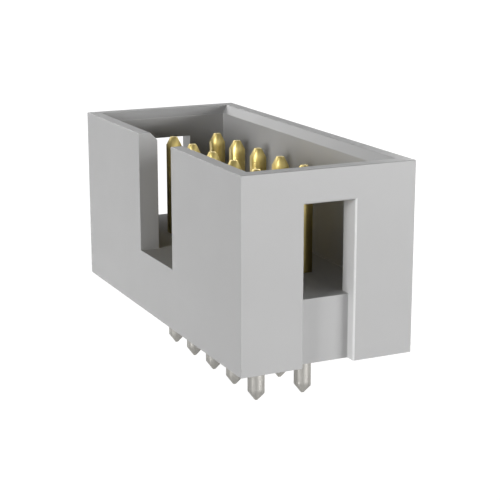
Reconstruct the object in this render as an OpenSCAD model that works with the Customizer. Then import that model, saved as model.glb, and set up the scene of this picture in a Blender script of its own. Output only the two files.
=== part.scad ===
/* [Contacts] */
// Number of contact pairs along the header
pair_count = 5; // [2:1:25]
// Spacing of the contacts, along a row and between the rows
pitch = 2.54; // [2.3:0.01:2.8]
// Side of the square contact wire
pin_w = 0.64; // [0.5:0.01:0.8]
// Rounding of the wire's long edges
pin_edge_r = 0.02; // [0.01:0.01:0.12]
// Room between a contact and its hole in the floor, 0 for a pressed-in contact
pin_hole_gap = 0; // [0:0.01:0.05]
// Height of the mating tips above the pocket floor
mating_reach = 5.23; // [4:0.01:5.8]
// Length of the taper on the mating end
mating_taper = 0.44; // [0.2:0.01:0.8]
// Side of the flat left on the mating tip
mating_flat = 0.29; // [0.1:0.01:0.4]
// Length of the solder tails below the seating plane
tail_reach = 3.14; // [2:0.01:4.5]
// Length of the taper on the solder tail
tail_taper = 0.4; // [0.2:0.01:0.8]
// Side of the flat left on the tail tip
tail_flat = 0.13; // [0.05:0.01:0.4]

/* [Housing] */
// Distance from the last contact to the outer end face
end_room = 4.97; // [4:0.01:7]
// Width across the two long walls
housing_w = 8.8; // [8:0.05:11]
// Height above the seating plane
housing_h = 9.16; // [8.5:0.01:12]
// Thickness of the two long walls
side_wall = 1.03; // [0.7:0.01:1.3]
// Thickness of the two end walls
end_wall = 1.12; // [0.8:0.01:1.6]
// Thickness of the floor that holds the contacts
floor_t = 3.09; // [2:0.01:3.6]
// Lead-in chamfer round the mouth of the pocket
lead_in = 0.4; // [0.1:0.01:0.6]
// Rounding of the outer edges
outer_r = 0.1; // [0.05:0.01:0.4]

/* [Key slot] */
// Width of the polarising slot in one long wall
key_slot_w = 4.28; // [3:0.01:6]

/* [End windows] */
// Width of the window and of the recess below it
window_w = 2.58; // [1.5:0.02:4]
// Height of the bar left above the window
window_bar = 1.55; // [0.8:0.01:2.5]
// Depth of the recess in the end face
recess_depth = 0.55; // [0.2:0.01:0.7]
// Chamfer on the outer edge of the recess
recess_break = 0.1; // [0.02:0.01:0.15]

/* [Hidden] */
$fn = 48;
plastic_grey = [0.72, 0.72, 0.71];
plating_gold = [0.85, 0.69, 0.33];
pin_count = 2 * pair_count;
row_span = (pair_count - 1) * pitch;
housing_l = row_span + 2 * end_room;
pocket_l = housing_l - 2 * end_wall;
pocket_w = housing_w - 2 * side_wall;
window_top = housing_h - window_bar;
mating_tip_z = floor_t + mating_reach;
pin_hole_w = pin_w + 2 * pin_hole_gap;
// How far a cutting shape runs past the surface it opens
over = 0.5;

// Rectangle with four rounded corners, centred on the origin
module rounded_rectangle(w, h, r) {
  square([w - 2 * r, h], center = true);
  square([w, h - 2 * r], center = true);
  for (sx = [-1, 1], sy = [-1, 1])
    translate([sx * (w / 2 - r), sy * (h / 2 - r)])
      circle(r);
}

// Extrudes a profile drawn across and up along the header, centred
module extrude_along_header(length) {
  rotate([90, 0, 90])
    linear_extrude(length, center = true)
      children();
}

// Extrudes a profile drawn along and up across the header, centred
module extrude_across_header(length) {
  rotate([90, 0, 0])
    linear_extrude(length, center = true)
      children();
}

// Block with every outer edge rounded: three rounded profiles crossed
module outer_block() {
  intersection() {
    linear_extrude(housing_h)
      rounded_rectangle(housing_l, housing_w, outer_r);
    extrude_along_header(housing_l)
      translate([0, housing_h / 2])
        rounded_rectangle(housing_w, housing_h, outer_r);
    extrude_across_header(housing_w)
      translate([0, housing_h / 2])
        rounded_rectangle(housing_l, housing_h, outer_r);
  }
}

// Pocket outline from the floor up, opening out at the lead-in chamfer
module pocket_profile(width) {
  half = width / 2;
  mouth = half + lead_in + over;
  polygon([
    [-half, floor_t],
    [half, floor_t],
    [half, housing_h - lead_in],
    [mouth, housing_h + over],
    [-mouth, housing_h + over],
    [-half, housing_h - lead_in]
  ]);
}

module pocket_cut() {
  intersection() {
    extrude_along_header(housing_l + 2 * over)
      pocket_profile(pocket_w);
    extrude_across_header(housing_w + 2 * over)
      pocket_profile(pocket_l);
  }
}

// Slot from the rim down to the pocket floor, through one long wall
module key_slot_cut() {
  translate([-key_slot_w / 2, -housing_w / 2 - over, floor_t])
    cube([key_slot_w, side_wall + 2 * over, housing_h - floor_t + over]);
}

// Recess in the end face, seen from above, with its chamfered outer edges
module recess_plan() {
  half = window_w / 2;
  face = housing_l / 2;
  flare = half + recess_break + over;
  polygon([
    [face - recess_depth, -half],
    [face - recess_break, -half],
    [face + over, -flare],
    [face + over, flare],
    [face - recess_break, half],
    [face - recess_depth, half]
  ]);
}

// The same recess seen from the side, closed at the top and open at the seat
module recess_side() {
  face = housing_l / 2;
  polygon([
    [face - recess_depth, -over],
    [face + over, -over],
    [face + over, window_top + recess_break + over],
    [face - recess_break, window_top],
    [face - recess_depth, window_top]
  ]);
}

module end_window_cut() {
  intersection() {
    translate([0, 0, -over])
      linear_extrude(housing_h + over)
        recess_plan();
    extrude_across_header(housing_w)
      recess_side();
  }
  translate([housing_l / 2 - end_wall - over, -window_w / 2, floor_t])
    cube([end_wall + over - recess_depth / 2, window_w, window_top - floor_t]);
}

// Centre of contact n: odd numbers in the slot's row, even ones behind it
function pin_x(n) = floor((n - 1) / 2) * pitch - row_span / 2;
function pin_y(n) = (n % 2 == 1 ? -1 : 1) * pitch / 2;

module pin_holes_cut() {
  for (n = [1 : pin_count])
    translate([pin_x(n), pin_y(n), floor_t / 2])
      cube([pin_hole_w, pin_hole_w, floor_t + 2 * over], center = true);
}

module housing() {
  color(plastic_grey)
    difference() {
      outer_block();
      pocket_cut();
      key_slot_cut();
      for (side = [0, 1])
        mirror([side, 0, 0])
          end_window_cut();
      pin_holes_cut();
    }
}

// Side view of a contact: tapered and blunt at both ends
module pin_profile() {
  half = pin_w / 2;
  polygon([
    [-tail_flat / 2, -tail_reach],
    [tail_flat / 2, -tail_reach],
    [half, -tail_reach + tail_taper],
    [half, mating_tip_z - mating_taper],
    [mating_flat / 2, mating_tip_z],
    [-mating_flat / 2, mating_tip_z],
    [-half, mating_tip_z - mating_taper],
    [-half, -tail_reach + tail_taper]
  ]);
}

module contact_pin(n) {
  color(plating_gold)
    translate([pin_x(n), pin_y(n), 0])
      intersection() {
        extrude_along_header(pin_w)
          pin_profile();
        extrude_across_header(pin_w)
          pin_profile();
        translate([0, 0, -tail_reach])
          linear_extrude(mating_tip_z + tail_reach)
            rounded_rectangle(pin_w, pin_w, pin_edge_r);
      }
}

housing();
for (n = [1 : pin_count])
  contact_pin(n);
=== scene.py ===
"""Box header for ribbon cable, finished: moulded housing, ten drawn contacts and a plain studio."""
import itertools
import math

import bmesh
import bpy
from bpy.props import FloatProperty, FloatVectorProperty, PointerProperty
from mathutils import Matrix, Vector


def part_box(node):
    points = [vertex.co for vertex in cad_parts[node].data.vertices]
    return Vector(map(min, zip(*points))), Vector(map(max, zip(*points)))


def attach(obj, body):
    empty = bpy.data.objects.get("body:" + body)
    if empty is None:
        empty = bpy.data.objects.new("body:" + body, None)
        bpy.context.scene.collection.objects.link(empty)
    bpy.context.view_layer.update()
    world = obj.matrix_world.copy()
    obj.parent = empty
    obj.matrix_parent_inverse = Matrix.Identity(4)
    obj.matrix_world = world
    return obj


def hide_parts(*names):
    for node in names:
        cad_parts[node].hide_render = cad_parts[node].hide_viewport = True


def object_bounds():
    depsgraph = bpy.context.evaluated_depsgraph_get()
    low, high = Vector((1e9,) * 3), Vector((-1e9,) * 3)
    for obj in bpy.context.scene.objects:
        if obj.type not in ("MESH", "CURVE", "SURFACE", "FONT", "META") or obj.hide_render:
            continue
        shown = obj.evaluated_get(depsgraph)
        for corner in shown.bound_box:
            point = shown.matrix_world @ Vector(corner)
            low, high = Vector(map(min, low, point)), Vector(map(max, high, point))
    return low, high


bl_info = {
    "name": "Box Header Finish",
    "version": (1, 0, 0),
    "blender": (4, 5, 0),
    "location": "View3D > Sidebar > Box Header",
    "description": "Builds the finished housing, contacts and studio round the packed box header",
    "category": "Object",
}

MM = 0.001

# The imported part: its pieces, its overall box and the places that the finish is built on
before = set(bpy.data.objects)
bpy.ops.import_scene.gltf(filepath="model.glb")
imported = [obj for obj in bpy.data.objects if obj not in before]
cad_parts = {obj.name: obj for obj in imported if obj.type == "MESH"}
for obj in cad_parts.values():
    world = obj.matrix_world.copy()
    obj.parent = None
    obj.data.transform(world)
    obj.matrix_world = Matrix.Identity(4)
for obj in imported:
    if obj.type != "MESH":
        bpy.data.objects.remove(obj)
CAD_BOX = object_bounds()
HOUSING_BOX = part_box("housing")
PIN_NODES = sorted((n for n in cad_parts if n.startswith("pin_")), key=lambda n: int(n[4:]))
PIN_BOXES = {n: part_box(n) for n in PIN_NODES}

# Steps across a rounded edge of the housing, along a contact's taper and round a corner of its wire
ROUNDING_STEPS = 4
TAPER_STEPS = 8
CORNER_STEPS = 5

# Distance in millimetres at which a spot still lies in a plane
NEAR = 0.01

# Angle in radians between the normals of two faces that are still in line
IN_LINE = 0.1

# Part of a face's normal along an axis: over this the face is square to the axis, between these it slants
SQUARE = 0.99
SLANTED = (0.2, 0.97)

# Reach of a chamfer with its rounded edges, in widths of the chamfer
CHAMFER_REACH = 1.2

# Start of a contact's plain length, in lengths of the taper beside it
PLAIN_FROM = 1.5

# Largest share of a contact's half width that the rounding of its edges takes
MOST_ROUND = 0.6

# Finishes of the housing in the order of its material slots; three of them paint a highlight, light or
# shade
HOUSING_FINISHES = ("Moulded_plastic", "Painted_highlight_edge", "Polished_side_painted_light", "Matt_skin_painted_shade")

# Fineness of roughness drift to tone drift and of the grain's pits to its swells, and the pits' height
FINER_RUB = 2.3
FINER_PITS = 1.6
PIT_HEIGHT = 0.5

# Noise over which a drawn line gets deep, and the roughness that a deep line adds
DEEP_LINES = (0.52, 0.7)
LINE_WEAR = 0.08

# Half the width of the floor, in metres
FLOOR_REACH = 4.0

# Soft lamps in a ring round the header, each turned towards it: azimuth and elevation in degrees, width and
# height in metres, and the tone that a white card facing only this lamp would show
LAMP_DISTANCE = 1.5
LAMPS = {
    "Key_lamp": (21.0, 12.5, 0.45, 0.4, 0.52),
    "Side_lamp": (129.0, 4.7, 0.9, 0.22, 0.66),
    "Back_lamp": (219.5, 12.0, 0.9, 0.4, 0.28),
    "Far_lamp": (272.0, 20.0, 0.9, 0.4, 0.19),
}


def length(name, description, default, high=0.05):
    """A size in metres that is shown in the scene's own units"""
    return FloatProperty(
        name=name, description=description, default=default,
        min=0.0, soft_max=high, precision=5, unit="LENGTH", subtype="DISTANCE",
    )


def share(name, description, default):
    """A value from nothing to full"""
    return FloatProperty(
        name=name, description=description, default=default, min=0.0, max=1.0, subtype="FACTOR",
    )


def colour(name, description, default):
    """A colour in linear light"""
    return FloatVectorProperty(
        name=name, description=description, default=default, size=3, min=0.0, max=1.0, subtype="COLOR",
    )


def angle(name, description, degrees):
    """An angle that is shown in degrees"""
    return FloatProperty(name=name, description=description, default=math.radians(degrees), subtype="ANGLE")


class HousingSettings(bpy.types.PropertyGroup):
    """Sizes and finish of the moulded housing, with its painted highlight, painted light and painted shade
    """

    side_wall: length("Side wall", "Thickness of the two long walls", 1.03 * MM)
    end_wall: length("End wall", "Thickness of the two end walls", 1.12 * MM)
    floor: length("Floor", "Thickness of the floor that holds the contacts", 3.09 * MM)
    lead_in: length("Lead-in", "Chamfer round the mouth of the pocket", 0.4 * MM)
    key_slot: length("Key slot", "Width of the polarising slot in one long wall", 4.28 * MM)
    window: length("Window", "Width of each end window and of the recess below it", 2.58 * MM)
    window_bar: length("Window bar", "Height of the bar left above each end window", 1.55 * MM)
    recess: length("Recess", "Depth of the recess in each end face", 0.55 * MM)
    recess_break: length("Recess chamfer", "Chamfer where the recess meets the end face", 0.06 * MM)
    outer_round: length("Outer rounding", "Rounding of the outer edges", 0.04 * MM)
    fine_round: length("Fine rounding", "Rounding of every other moulded edge", 0.03 * MM)
    plastic: colour("Plastic", "Colour of the moulded plastic", (0.47, 0.47, 0.47))
    roughness: share("Roughness", "Roughness of the moulded skin", 0.36)
    # Painted highlight: a paler colour on the +Y chamfer of each recess stands in for the light that this
    # edge catches
    painted_highlight: colour("Burnish", "Colour of the burnished edge of each recess", (0.78, 0.78, 0.78))
    painted_highlight_roughness: share("Burnish roughness", "Roughness of the burnished edge", 0.25)
    # Painted light: a paler colour on the sides of each window and recess stands in for light; their lower
    # roughness is a real polish
    light_painted_polish: colour("Polish", "Colour of the polished sides of each window and recess", (0.65, 0.65, 0.65))
    polish_roughness: share("Polish roughness", "Roughness of the polished sides", 0.3)
    # Painted shade: a darker colour on the pocket floor and cross faces inside stands in for their shade;
    # their high roughness is a real matt skin
    matt_painted_shade: colour("Matt skin", "Colour of the matt floor and cross faces inside", (0.42, 0.42, 0.42))
    matt_roughness: share("Matt roughness", "Roughness of the matt floor and cross faces inside", 0.9)


class ContactSettings(bpy.types.PropertyGroup):
    """Sizes and finish of the contacts, with a painted shade low on the gold"""

    edge_round: length("Edge rounding", "Rounding of the wire's long edges", 0.02 * MM)
    mating_taper: length("Mating taper", "Length of the taper on the mating end", 0.44 * MM)
    mating_flat: length("Mating flat", "Width of the flat on the mating tip", 0.29 * MM)
    tail_taper: length("Tail taper", "Length of the taper on the solder tail", 0.4 * MM)
    tail_flat: length("Tail flat", "Width of the flat on the tail tip", 0.13 * MM)
    shoulder_blend: share("Shoulder blend", "Share of a taper's slope that its shoulder already shows", 0.4)
    tip_blend: angle("Tip blend", "Slope that the tapers show at their tips", 30.0)
    plating_edge: length("Plating edge", "Height above the seat where tin gives way to gold", 1.5 * MM)
    gold: colour("Gold", "Colour of the plating on the mating end", (0.95, 0.77, 0.3))
    gold_roughness: share("Gold roughness", "Roughness of the gold plating", 0.42)
    # Painted shade: the gold's colour darkens lower down the pins, standing in for the shade deep in the
    # pocket
    gold_painted_shade: share("Thin gold", "Brightness of the gold where its plating is thin", 0.45)
    gold_shade_darkest_at: length("Thin at", "Height at which the gold plating is thinnest", 5.0 * MM)
    gold_shade_below: length("Thin below", "Height below which the gold plating gets thin", 6.8 * MM)
    tin: colour("Tin", "Colour of the plating on the solder tail", (0.44, 0.43, 0.405))
    tin_roughness: share("Tin roughness", "Roughness of the tin plating", 0.56)


class StudioSettings(bpy.types.PropertyGroup):
    """Camera, lamps and surroundings"""

    azimuth: angle("Azimuth", "Direction that the camera stands in, from -Y towards +X", 64.6)
    elevation: angle("Elevation", "Height of the camera above the horizon", 14.26)
    distance: length("Distance", "From the camera to the point that it looks at", 71.84 * MM, high=1.0)
    aim: FloatVectorProperty(
        name="Aim", description="Point that the camera looks at",
        default=(0.0, 0.815 * MM, 3.024 * MM), size=3, precision=5, unit="LENGTH", subtype="TRANSLATION",
    )
    lens: FloatProperty(
        name="Lens", description="Focal length for a sensor 36 mm wide", default=100.0, unit="CAMERA",
    )
    horizon: colour("Horizon", "Colour of the surroundings at eye level", (1.0, 1.0, 1.0))
    ceiling: colour("Ceiling", "Colour of the surroundings overhead", (0.2, 0.2, 0.2))
    horizon_top: share("Horizon top", "Height where the horizon's colour ends, 1 being overhead", 0.32)
    ceiling_edge: share("Ceiling edge", "Height where the ceiling's colour begins, 1 being overhead", 0.5)
    fill: share("Fill", "Strength of the surroundings as plain light", 0.15)
    floor_tone: colour("Floor", "Colour of the floor", (0.86, 0.86, 0.86))
    floor_roughness: share("Floor roughness", "Roughness of the floor", 0.15)
    floor_glow: share("Floor glow", "Light that the floor gives off itself", 0.3)
    floor_shown: share("Floor shown", "Light that the camera sees the floor give off", 0.94)
    floor_dimming: share("Floor dimming", "Part of the floor's lit tone that the camera doesn't see", 0.72)


def add_object(name, data):
    """New object in the scene"""
    made = bpy.data.objects.new(name, data)
    bpy.context.scene.collection.objects.link(made)
    return made


def skin_of_cells(planes, filled, corner):
    """Closed skin round the filled cells of a lattice, one quad for each face that meets an empty cell"""
    skin = bmesh.new()
    made = {}

    def vertex(index):
        if index not in made:
            made[index] = skin.verts.new(corner(*(p[i] for p, i in zip(planes, index))))
        return made[index]

    def is_filled(cell):
        if any(i < 0 or i >= len(p) - 1 for p, i in zip(planes, cell)):
            return False
        return filled(*((p[i] + p[i + 1]) / 2 for p, i in zip(planes, cell)))

    cells = [c for c in itertools.product(*(range(len(p) - 1) for p in planes)) if is_filled(c)]
    for cell, axis, side in itertools.product(cells, range(3), (0, 1)):
        beyond = list(cell)
        beyond[axis] += 2 * side - 1
        if is_filled(beyond):
            continue
        loop = []
        for du, dv in ((0, 0), (1, 0), (1, 1), (0, 1)):
            index = list(cell)
            index[axis] += side
            index[(axis + 1) % 3] += du
            index[(axis + 2) % 3] += dv
            loop.append(vertex(tuple(index)))
        skin.faces.new(loop if side else reversed(loop))
    skin.normal_update()
    bmesh.ops.dissolve_limit(skin, angle_limit=0.001, verts=skin.verts, edges=skin.edges)
    return skin


def rounded_mesh(name, skin, radius_of):
    """Mesh in metres of a skin in millimetres, each edge rounded by what radius_of says"""
    widest = max(radius_of(edge) for edge in skin.edges)
    weight = skin.edges.layers.float.new("bevel_weight_edge")
    for edge in skin.edges:
        edge[weight] = radius_of(edge) / widest
    for face in skin.faces:
        face.smooth = True
    draft = bpy.data.meshes.new(name)
    skin.to_mesh(draft)
    skin.free()
    holder = add_object(name, draft)
    bevel = holder.modifiers.new("Rounding", "BEVEL")
    bevel.limit_method = "WEIGHT"
    bevel.width = widest
    bevel.segments = ROUNDING_STEPS
    bevel.use_clamp_overlap = False
    bevel.harden_normals = True
    state = bpy.context.evaluated_depsgraph_get()
    mesh = bpy.data.meshes.new_from_object(
        holder.evaluated_get(state), preserve_all_data_layers=True, depsgraph=state,
    )
    bpy.data.objects.remove(holder)
    bpy.data.meshes.remove(draft)
    mesh.name = name
    mesh.transform(Matrix.Scale(MM, 4))
    return mesh


def housing_mesh(s):
    """The moulded box: floor with contact holes, walls, lead-in, key slot and stepped end windows"""
    low, high = (corner / MM for corner in HOUSING_BOX)
    half_l, half_w, top = high.x, high.y, high.z
    floor, lead_in, recess, chamfer = s.floor / MM, s.lead_in / MM, s.recess / MM, s.recess_break / MM
    outer_round, fine_round = s.outer_round / MM, s.fine_round / MM
    pocket_x, pocket_y = half_l - s.end_wall / MM, half_w - s.side_wall / MM
    slot_x, window_y, window_top = s.key_slot / MM / 2, s.window / MM / 2, top - s.window_bar / MM
    holes = [(a / MM, b / MM) for a, b in PIN_BOXES.values()]

    def mirrored(*sizes):
        return {sign * size for size in sizes for sign in (-1, 1)}

    across = mirrored(half_l, half_l - chamfer, half_l - recess, pocket_x, slot_x)
    across |= {round(c.x, 4) for h in holes for c in h}
    along = mirrored(half_w, pocket_y, window_y) | {round(c.y, 4) for h in holes for c in h}
    planes = [sorted(across), sorted(along), [low.z, floor, window_top, top - lead_in, top]]

    def is_plastic(x, y, z):
        in_window = abs(y) < window_y and z < window_top
        if in_window and abs(x) > half_l - recess:
            return False
        if z < floor:
            return not any(a.x < x < b.x and a.y < y < b.y for a, b in holes)
        in_pocket = abs(x) < pocket_x and abs(y) < pocket_y
        in_slot = abs(x) < slot_x and y < 0
        return not (in_pocket or in_slot or in_window)

    def corner(x, y, z):
        """Lattice corner, moved out for the lead-in at the rim and the recess's chamfer at the ends"""
        if z == top and abs(x) <= pocket_x and abs(y) <= pocket_y:
            if abs(x) == pocket_x:
                x += math.copysign(lead_in, x)
            if abs(y) == pocket_y:
                y += math.copysign(lead_in, y)
        if abs(x) == half_l and abs(y) <= window_y and z <= window_top:
            if abs(y) == window_y:
                y += math.copysign(chamfer, y)
            if z == window_top:
                z += chamfer
        return x, y, z

    def radius_of(edge):
        """Rounding of one edge in millimetres, nothing where its faces are in line"""
        if edge.calc_face_angle(0.0) < IN_LINE:
            return 0.0
        spot = (edge.verts[0].co + edge.verts[1].co) / 2
        on_end, on_side = abs(spot.x) > half_l - NEAR, abs(spot.y) > half_w - NEAR
        on_rim, on_seat = spot.z > top - NEAR, spot.z < low.z + NEAR
        is_outer = on_end + on_side + on_rim > 1 and not on_seat
        return outer_round if is_outer else fine_round

    def finish_of(face):
        """Name of one face's finish; of a recess's chamfer only the upright on its +Y side gets a painted
        highlight, the window and recess sides get painted light, the pocket floor and cross faces inside
        painted shade
        """
        spot, facing = face.center / MM, face.normal
        reach = chamfer * CHAMFER_REACH
        on_chamfer = half_l - abs(spot.x) < reach and abs(spot.y - window_y) < reach
        slants = SLANTED[0] < -facing.y < SLANTED[1]
        # A paler colour here is a painted highlight on the recess's chamfer
        if on_chamfer and slants and spot.z < window_top + chamfer:
            return "Painted_highlight_edge"
        # Painted light, with a real polished roughness, on the sides of the window and recess
        in_opening = abs(abs(spot.y) - window_y) < NEAR and abs(spot.x) > pocket_x
        if in_opening and abs(facing.y) > SQUARE:
            return "Polished_side_painted_light"
        # Painted shade, with a real matt roughness, on the pocket floor and the cross faces inside
        on_floor = abs(spot.z - floor) < NEAR and facing.z > SQUARE
        lies_across = abs(spot.x) < pocket_x + NEAR and abs(facing.x) > SQUARE
        return "Matt_skin_painted_shade" if on_floor or lies_across else "Moulded_plastic"

    mesh = rounded_mesh("moulded_housing", skin_of_cells(planes, is_plastic, corner), radius_of)
    for face in mesh.polygons:
        face.material_index = HOUSING_FINISHES.index(finish_of(face))
    return mesh


def wire_section(half, radius):
    """Points of a square with rounded corners, counter-clockwise"""
    section = []
    for quarter in range(4):
        for step in range(CORNER_STEPS + 1):
            turn = math.radians(90 * (quarter + step / CORNER_STEPS))
            centre = math.radians(90 * quarter + 45)
            reach = (half - radius) * math.sqrt(2)
            section.append((
                reach * math.cos(centre) + radius * math.cos(turn),
                reach * math.sin(centre) + radius * math.sin(turn),
            ))
    return section


def taper(shoulder, tip, first_slope, last_slope):
    """Rings of a straight taper as half width, height and the slope that its shading shows"""
    rings = []
    for step in range(TAPER_STEPS + 1):
        t = step / TAPER_STEPS
        width, z = shoulder[0] + (tip[0] - shoulder[0]) * t, shoulder[1] + (tip[1] - shoulder[1]) * t
        rings.append((width, z, first_slope + (last_slope - first_slope) * t))
    return rings


def contact_profile(low, high, s):
    """Rings of one contact from its tail's tip up, each as half width, height and shaded slope"""
    half = (high.x - low.x) / 2
    tail_half, mating_half = s.tail_flat / 2, s.mating_flat / 2
    tail_slope = math.atan2(half - tail_half, s.tail_taper) * s.shoulder_blend
    mating_slope = math.atan2(half - mating_half, s.mating_taper) * s.shoulder_blend
    tail = taper((half, low.z + s.tail_taper), (tail_half, low.z), -tail_slope, -s.tip_blend)
    mating = taper((half, high.z - s.mating_taper), (mating_half, high.z), mating_slope, s.tip_blend)
    return [
        (tail_half / 2, low.z, math.radians(-90)),
        *reversed(tail),
        (half, low.z + s.tail_taper * PLAIN_FROM, 0.0),
        (half, HOUSING_BOX[0].z + s.plating_edge, 0.0),
        (half, high.z - s.mating_taper * PLAIN_FROM, 0.0),
        *mating,
        (mating_half / 2, high.z, math.radians(90)),
    ]


def contact_mesh(name, low, high, s):
    """Square wire pointed at both ends, gold down to the plating edge and tin below it"""
    centre = (low + high) / 2
    gold_from = HOUSING_BOX[0].z + s.plating_edge - NEAR * MM
    wire = bmesh.new()
    rings = []
    shading = []
    for width, z, slope in contact_profile(low, high, s):
        section = wire_section(width, min(s.edge_round, width * MOST_ROUND))
        rings.append([wire.verts.new((centre.x + x, centre.y + y, z)) for x, y in section])
        for x, y in section:
            out = Vector((x, y, 0)).normalized() * math.cos(slope)
            shading.append((out.x, out.y, math.sin(slope)))
    wire.faces.new(reversed(rings[0])).material_index = 1
    wire.faces.new(rings[-1])
    for under, over in zip(rings, rings[1:]):
        for i, j in zip(range(len(under)), [*range(1, len(under)), 0]):
            face = wire.faces.new((under[i], under[j], over[j], over[i]))
            face.smooth = True
            face.material_index = 0 if under[0].co.z >= gold_from else 1
    mesh = bpy.data.meshes.new(name)
    wire.to_mesh(mesh)
    wire.free()
    mesh.normals_split_custom_set([
        shading[mesh.loops[loop].vertex_index] if face.use_smooth else tuple(face.normal)
        for face in mesh.polygons for loop in face.loop_indices
    ])
    return mesh


def new_group(name, inputs, outputs):
    """Empty shader node group with its named sockets, and the nodes that stand for them"""
    group = bpy.data.node_groups.new(name, "ShaderNodeTree")
    for socket, kind, default in inputs:
        made = group.interface.new_socket(name=socket, in_out="INPUT", socket_type=kind)
        made.default_value = default
    for socket, kind in outputs:
        group.interface.new_socket(name=socket, in_out="OUTPUT", socket_type=kind)
    return group, group.nodes.new("NodeGroupInput"), group.nodes.new("NodeGroupOutput")


def maths(tree, operation, *values):
    """Output of a Math node whose inputs are sockets or plain numbers"""
    node = tree.nodes.new("ShaderNodeMath")
    node.operation = operation
    for slot, value in zip(node.inputs, values):
        if isinstance(value, bpy.types.NodeSocket):
            tree.links.new(value, slot)
        else:
            slot.default_value = value
    return node.outputs["Value"]


def ramp(tree, value, kind="LINEAR", **ends):
    """Value carried over from one range to another, each from 0 to 1 unless its ends are given"""
    node = tree.nodes.new("ShaderNodeMapRange")
    node.interpolation_type = kind
    tree.links.new(value, node.inputs["Value"])
    for end, number in ends.items():
        node.inputs[end.replace("_", " ").title()].default_value = number
    return node.outputs["Result"]


def dimmed_tone(tree, tone, factor):
    """Tone times a factor that changes over the surface"""
    node = tree.nodes.new("ShaderNodeVectorMath")
    node.operation = "SCALE"
    tree.links.new(tone, node.inputs[0])
    tree.links.new(factor, node.inputs["Scale"])
    return node.outputs["Vector"]


def cloud(tree, vector, scale, detail):
    """Noise from -0.5 to 0.5"""
    noise = tree.nodes.new("ShaderNodeTexNoise")
    noise.inputs["Detail"].default_value = detail
    tree.links.new(vector, noise.inputs["Vector"])
    tree.links.new(scale, noise.inputs["Scale"])
    return maths(tree, "SUBTRACT", noise.outputs["Fac"], 0.5)


def surface_drift():
    """Slow drift of tone and roughness over a surface, in patches of the given size"""
    group, given, result = new_group(
        "Surface drift",
        (
            ("Tone", "NodeSocketColor", (0.5, 0.5, 0.5, 1.0)),
            ("Roughness", "NodeSocketFloat", 0.4),
            ("Patch size", "NodeSocketFloat", 4 * MM),
            ("Tone drift", "NodeSocketFloat", 0.05),
            ("Roughness drift", "NodeSocketFloat", 0.05),
        ),
        (("Tone", "NodeSocketColor"), ("Roughness", "NodeSocketFloat")),
    )
    place = group.nodes.new("ShaderNodeTexCoord").outputs["Object"]
    scale = maths(group, "DIVIDE", 1.0, given.outputs["Patch size"])
    patches = cloud(group, place, scale, detail=3.0)
    swing = maths(group, "MULTIPLY", patches, given.outputs["Tone drift"])
    toned = dimmed_tone(group, given.outputs["Tone"], maths(group, "ADD", swing, 1.0))
    group.links.new(toned, result.inputs["Tone"])
    rubbed = cloud(group, place, maths(group, "MULTIPLY", scale, FINER_RUB), detail=2.0)
    change = maths(group, "MULTIPLY", rubbed, given.outputs["Roughness drift"])
    group.links.new(maths(group, "ADD", given.outputs["Roughness"], change), result.inputs["Roughness"])
    return group


def fine_grain():
    """Height of a fine even grain, such as a spark-eroded mould or a plating bath leaves"""
    group, given, result = new_group(
        "Fine grain",
        (("Grain size", "NodeSocketFloat", 0.05 * MM), ("Depth", "NodeSocketFloat", 1.0)),
        (("Height", "NodeSocketFloat"),),
    )
    place = group.nodes.new("ShaderNodeTexCoord").outputs["Object"]
    scale = maths(group, "DIVIDE", 1.0, given.outputs["Grain size"])
    swells = cloud(group, place, scale, detail=2.0)
    pits = group.nodes.new("ShaderNodeTexVoronoi")
    pits.feature = "SMOOTH_F1"
    group.links.new(place, pits.inputs["Vector"])
    group.links.new(maths(group, "MULTIPLY", scale, FINER_PITS), pits.inputs["Scale"])
    both = maths(group, "ADD", swells, maths(group, "MULTIPLY", pits.outputs["Distance"], PIT_HEIGHT))
    group.links.new(maths(group, "MULTIPLY", both, given.outputs["Depth"]), result.inputs["Height"])
    return group


def drawn_lines():
    """Fine lines along Z, as a drawing die leaves on wire, and a mask of the deeper ones"""
    group, given, result = new_group(
        "Drawn lines",
        (("Line spacing", "NodeSocketFloat", 0.04 * MM), ("Line length", "NodeSocketFloat", 3 * MM)),
        (("Height", "NodeSocketFloat"), ("Mask", "NodeSocketFloat")),
    )
    place = group.nodes.new("ShaderNodeTexCoord").outputs["Object"]
    across = maths(group, "DIVIDE", 1.0, given.outputs["Line spacing"])
    along = maths(group, "DIVIDE", 1.0, given.outputs["Line length"])
    stretch = group.nodes.new("ShaderNodeCombineXYZ")
    for axis, scale in (("X", across), ("Y", across), ("Z", along)):
        group.links.new(scale, stretch.inputs[axis])
    scaled = group.nodes.new("ShaderNodeVectorMath")
    scaled.operation = "MULTIPLY"
    group.links.new(place, scaled.inputs[0])
    group.links.new(stretch.outputs["Vector"], scaled.inputs[1])
    noise = group.nodes.new("ShaderNodeTexNoise")
    noise.inputs["Scale"].default_value = 1.0
    noise.inputs["Detail"].default_value = 3.0
    group.links.new(scaled.outputs["Vector"], noise.inputs["Vector"])
    group.links.new(noise.outputs["Fac"], result.inputs["Height"])
    deep = ramp(group, noise.outputs["Fac"], from_min=DEEP_LINES[0], from_max=DEEP_LINES[1])
    group.links.new(deep, result.inputs["Mask"])
    return group


def shared_group(name):
    """The node group of that name, built the first time that a material asks for it"""
    builders = {"Surface drift": surface_drift, "Fine grain": fine_grain, "Drawn lines": drawn_lines}
    return bpy.data.node_groups.get(name) or builders[name]()


def place_group(tree, name, **values):
    """Puts a shared group in a material with its own values"""
    node = tree.nodes.new("ShaderNodeGroup")
    node.node_tree = shared_group(name)
    for socket, value in values.items():
        node.inputs[socket.replace("_", " ").capitalize()].default_value = value
    return node


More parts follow.
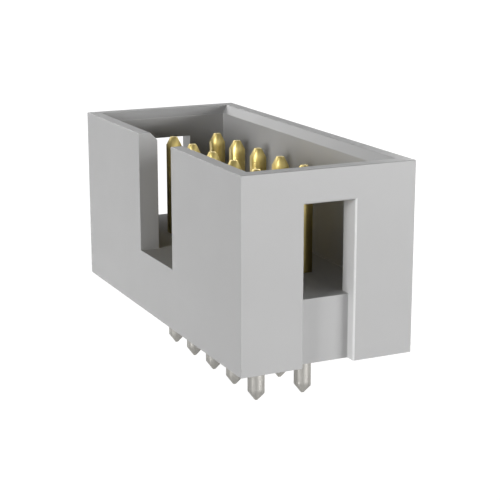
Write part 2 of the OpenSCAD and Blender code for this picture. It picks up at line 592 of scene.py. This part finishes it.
def new_material(name):
    """Empty material with its Principled shader and output joined"""
    material = bpy.data.materials.new(name)
    material.use_nodes = True
    tree = material.node_tree
    tree.nodes.clear()
    shader = tree.nodes.new("ShaderNodeBsdfPrincipled")
    output = tree.nodes.new("ShaderNodeOutputMaterial")
    tree.links.new(shader.outputs["BSDF"], output.inputs["Surface"])
    return material, tree, shader


def add_relief(tree, shader, height, depth):
    """Bumps the shader's normal by a height map of the given depth in metres"""
    bump = tree.nodes.new("ShaderNodeBump")
    bump.inputs["Distance"].default_value = depth
    tree.links.new(height, bump.inputs["Height"])
    tree.links.new(bump.outputs["Normal"], shader.inputs["Normal"])


def plastic_material(name, tone, roughness, grain_depth):
    """Moulded plastic: an even grey that drifts a little, with a fine grain from the mould"""
    material, tree, shader = new_material(name)
    drift = place_group(
        tree, "Surface drift",
        tone=(*tone, 1.0), roughness=roughness, patch_size=3.5 * MM, tone_drift=0.05, roughness_drift=0.12,
    )
    tree.links.new(drift.outputs["Tone"], shader.inputs["Base Color"])
    tree.links.new(drift.outputs["Roughness"], shader.inputs["Roughness"])
    grain = place_group(tree, "Fine grain", grain_size=0.07 * MM, depth=grain_depth)
    add_relief(tree, shader, grain.outputs["Height"], depth=0.0015 * MM)
    return material


def shade_painted_tone(tree, tone, least, low, high):
    """Tone that falls to its least share from the high place down to the low one, a painted shade low down
    on the pins
    """
    parts = tree.nodes.new("ShaderNodeSeparateXYZ")
    tree.links.new(tree.nodes.new("ShaderNodeTexCoord").outputs["Object"], parts.inputs["Vector"])
    cover = ramp(tree, parts.outputs["Z"], "SMOOTHSTEP", from_min=low, from_max=high, to_min=least)
    return dimmed_tone(tree, tone, cover)


def plating_material(name, tone, roughness, grain_depth, line_depth, shade_painted=None):
    """Plated wire: drawn lines under the plating and its own grain, and where told a painted shade
    darkening its lower part
    """
    material, tree, shader = new_material(name)
    shader.inputs["Metallic"].default_value = 1.0
    lines = place_group(tree, "Drawn lines", line_spacing=0.05 * MM, line_length=2.5 * MM)
    drift = place_group(
        tree, "Surface drift",
        tone=(*tone, 1.0), roughness=roughness, patch_size=0.8 * MM, tone_drift=0.12, roughness_drift=0.15,
    )
    # Painted shade: darker lower down, where asked
    toned = shade_painted_tone(tree, drift.outputs["Tone"], *shade_painted) if shade_painted else drift.outputs["Tone"]
    tree.links.new(toned, shader.inputs["Base Color"])
    worn = maths(tree, "MULTIPLY", lines.outputs["Mask"], LINE_WEAR)
    tree.links.new(maths(tree, "ADD", drift.outputs["Roughness"], worn), shader.inputs["Roughness"])
    grain = place_group(tree, "Fine grain", grain_size=0.03 * MM, depth=grain_depth)
    height = maths(tree, "MULTIPLY_ADD", lines.outputs["Height"], line_depth, grain.outputs["Height"])
    add_relief(tree, shader, height, depth=0.001 * MM)
    return material


def add_piece(name, mesh, node):
    """A finished piece, which rides on the part and stands for its CAD node"""
    piece = add_object(name, mesh)
    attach(piece, "root")
    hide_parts(node)


class HEADER_OT_build_housing(bpy.types.Operator):
    """Builds the moulded housing with its rounded edges and its finishes, three of which paint a highlight,
    light or shade
    """

    bl_idname = "header.build_housing"
    bl_label = "Build Housing"

    def execute(self, context):
        s = context.scene.header_housing
        looks = {
            "Moulded_plastic": (s.plastic, s.roughness, 1.0),
            # Painted highlight, painted light, and painted shade with a real matt roughness, in that order
            "Painted_highlight_edge": (s.painted_highlight, s.painted_highlight_roughness, 0.4),
            "Polished_side_painted_light": (s.light_painted_polish, s.polish_roughness, 0.4),
            "Matt_skin_painted_shade": (s.matt_painted_shade, s.matt_roughness, 1.0),
        }
        mesh = housing_mesh(s)
        for finish in HOUSING_FINISHES:
            tone, roughness, grain_depth = looks[finish]
            mesh.materials.append(plastic_material(finish, tone, roughness, grain_depth))
        add_piece("moulded_housing", mesh, "housing")
        return {"FINISHED"}


class HEADER_OT_build_contacts(bpy.types.Operator):
    """Builds the ten contacts, gold above the floor and tin below it"""

    bl_idname = "header.build_contacts"
    bl_label = "Build Contacts"

    def execute(self, context):
        s = context.scene.header_contacts
        # Gold with a painted shade lower down on each pin
        gold = plating_material(
            "Gold_plating", s.gold, s.gold_roughness, grain_depth=0.4, line_depth=1.5,
            shade_painted=(s.gold_painted_shade, s.gold_shade_darkest_at, s.gold_shade_below),
        )
        tin = plating_material("Tin_plating", s.tin, s.tin_roughness, grain_depth=1.2, line_depth=1.0)
        for node, (low, high) in PIN_BOXES.items():
            name = node.replace("pin_", "contact_")
            mesh = contact_mesh(name, low, high, s)
            mesh.materials.append(gold)
            mesh.materials.append(tin)
            add_piece(name, mesh, node)
        return {"FINISHED"}


def stand_back(holder, aim, azimuth, elevation, distance):
    """Places a camera or lamp at a distance from its aim, turned towards it; azimuth runs from -Y to +X"""
    back = Vector((
        math.sin(azimuth) * math.cos(elevation),
        -math.cos(azimuth) * math.cos(elevation),
        math.sin(elevation),
    ))
    holder.location = Vector(aim) + back * distance
    holder.rotation_mode = "QUATERNION"
    holder.rotation_quaternion = (-back).to_track_quat("-Z", "Y")


def add_camera(s):
    """The photograph's camera"""
    camera = add_object("Camera", bpy.data.cameras.new("Camera"))
    camera.data.lens = s.lens
    camera.data.clip_start = MM
    camera.data.clip_end = 10.0
    stand_back(camera, s.aim, s.azimuth, s.elevation, s.distance)
    bpy.context.scene.camera = camera


def add_floor(s):
    """Pale luminous floor under the tails, which shows white and keeps the shadow"""
    mesh = bpy.data.meshes.new("Floor")
    places = ((-1, -1), (1, -1), (1, 1), (-1, 1))
    corners = [(x * FLOOR_REACH, y * FLOOR_REACH, CAD_BOX[0].z) for x, y in places]
    mesh.from_pydata(corners, [], [(0, 1, 2, 3)])
    add_object("Floor", mesh)
    material, tree, shader = new_material("Studio_floor")
    shader.inputs["Base Color"].default_value = (*s.floor_tone, 1.0)
    shader.inputs["Roughness"].default_value = s.floor_roughness
    mesh.materials.append(material)
    camera_ray = tree.nodes.new("ShaderNodeLightPath").outputs["Is Camera Ray"]
    dimmed = tree.nodes.new("ShaderNodeMixShader")
    tree.links.new(maths(tree, "MULTIPLY", camera_ray, s.floor_dimming), dimmed.inputs["Fac"])
    tree.links.new(shader.outputs["BSDF"], dimmed.inputs[1])
    glow = tree.nodes.new("ShaderNodeEmission")
    level = ramp(tree, camera_ray, to_min=s.floor_glow, to_max=s.floor_shown)
    tree.links.new(level, glow.inputs["Strength"])
    lit = tree.nodes.new("ShaderNodeAddShader")
    tree.links.new(dimmed.outputs["Shader"], lit.inputs[0])
    tree.links.new(glow.outputs["Emission"], lit.inputs[1])
    tree.links.new(lit.outputs["Shader"], tree.nodes["Material Output"].inputs["Surface"])


def add_lamps(s):
    """Soft lamps in a ring round the header, each with the power that gives a white card its tone"""
    for name, (azimuth, elevation, width, height, tone) in LAMPS.items():
        lamp = bpy.data.lights.new(name, "AREA")
        lamp.shape = "RECTANGLE"
        lamp.size = width
        lamp.size_y = height
        lamp.energy = tone * math.pi ** 2 * LAMP_DISTANCE ** 2
        holder = add_object(name, lamp)
        stand_back(holder, s.aim, math.radians(azimuth), math.radians(elevation), LAMP_DISTANCE)


def shown_rays(tree):
    """Socket that is 1 for what the camera, a reflection or clear plastic shows, and 0 for plain light"""
    rays = tree.nodes.new("ShaderNodeLightPath").outputs
    mirrored = maths(tree, "MAXIMUM", rays["Is Glossy Ray"], rays["Is Transmission Ray"])
    return maths(tree, "MAXIMUM", rays["Is Camera Ray"], mirrored)


def add_surroundings(s):
    """White horizon that falls off to a dimmer ceiling"""
    world = bpy.data.worlds.new("Studio")
    bpy.context.scene.world = world
    world.use_nodes = True
    tree = world.node_tree
    nodes, links = tree.nodes, tree.links
    nodes.clear()
    parts = nodes.new("ShaderNodeSeparateXYZ")
    links.new(nodes.new("ShaderNodeTexCoord").outputs["Generated"], parts.inputs["Vector"])
    rise = ramp(tree, parts.outputs["Z"], "SMOOTHSTEP", from_min=s.horizon_top, from_max=s.ceiling_edge)
    tone = nodes.new("ShaderNodeMix")
    tone.data_type = "RGBA"
    tone.inputs["A"].default_value = (*s.horizon, 1.0)
    tone.inputs["B"].default_value = (*s.ceiling, 1.0)
    links.new(rise, tone.inputs["Factor"])
    background = nodes.new("ShaderNodeBackground")
    links.new(tone.outputs["Result"], background.inputs["Color"])
    links.new(ramp(tree, shown_rays(tree), to_min=s.fill), background.inputs["Strength"])
    output = nodes.new("ShaderNodeOutputWorld")
    links.new(background.outputs["Background"], output.inputs["Surface"])


class HEADER_OT_build_stage(bpy.types.Operator):
    """Sets up the camera, the floor, the lamps and the surroundings"""

    bl_idname = "header.build_stage"
    bl_label = "Build Stage"

    def execute(self, context):
        s = context.scene.header_studio
        context.scene.view_settings.view_transform = "Standard"
        add_camera(s)
        add_floor(s)
        add_lamps(s)
        add_surroundings(s)
        return {"FINISHED"}


class HEADER_PT_finish(bpy.types.Panel):
    """Sidebar panel with the header's sizes, finishes and build steps"""

    bl_idname = "HEADER_PT_finish"
    bl_label = "Box Header"
    bl_space_type = "VIEW_3D"
    bl_region_type = "UI"
    bl_category = "Box Header"

    def draw(self, context):
        for title, group, operator in SECTIONS:
            box = self.layout.box()
            box.label(text=title)
            settings = getattr(context.scene, group)
            for name in settings.__annotations__:
                box.prop(settings, name)
            box.operator(operator.bl_idname)


SECTIONS = (
    ("Housing", "header_housing", HEADER_OT_build_housing),
    ("Contacts", "header_contacts", HEADER_OT_build_contacts),
    ("Studio", "header_studio", HEADER_OT_build_stage),
)
SETTINGS = {
    "header_housing": HousingSettings,
    "header_contacts": ContactSettings,
    "header_studio": StudioSettings,
}
CLASSES = (*SETTINGS.values(), *(operator for _, _, operator in SECTIONS), HEADER_PT_finish)


def register():
    for cls in CLASSES:
        bpy.utils.register_class(cls)
    for name, settings in SETTINGS.items():
        setattr(bpy.types.Scene, name, PointerProperty(type=settings))


def unregister():
    for name in SETTINGS:
        delattr(bpy.types.Scene, name)
    for cls in reversed(CLASSES):
        bpy.utils.unregister_class(cls)


def main():
    """Builds the whole object"""
    register()
    bpy.ops.header.build_housing()
    bpy.ops.header.build_contacts()
    bpy.ops.header.build_stage()


if __name__ == "__main__":
    main()
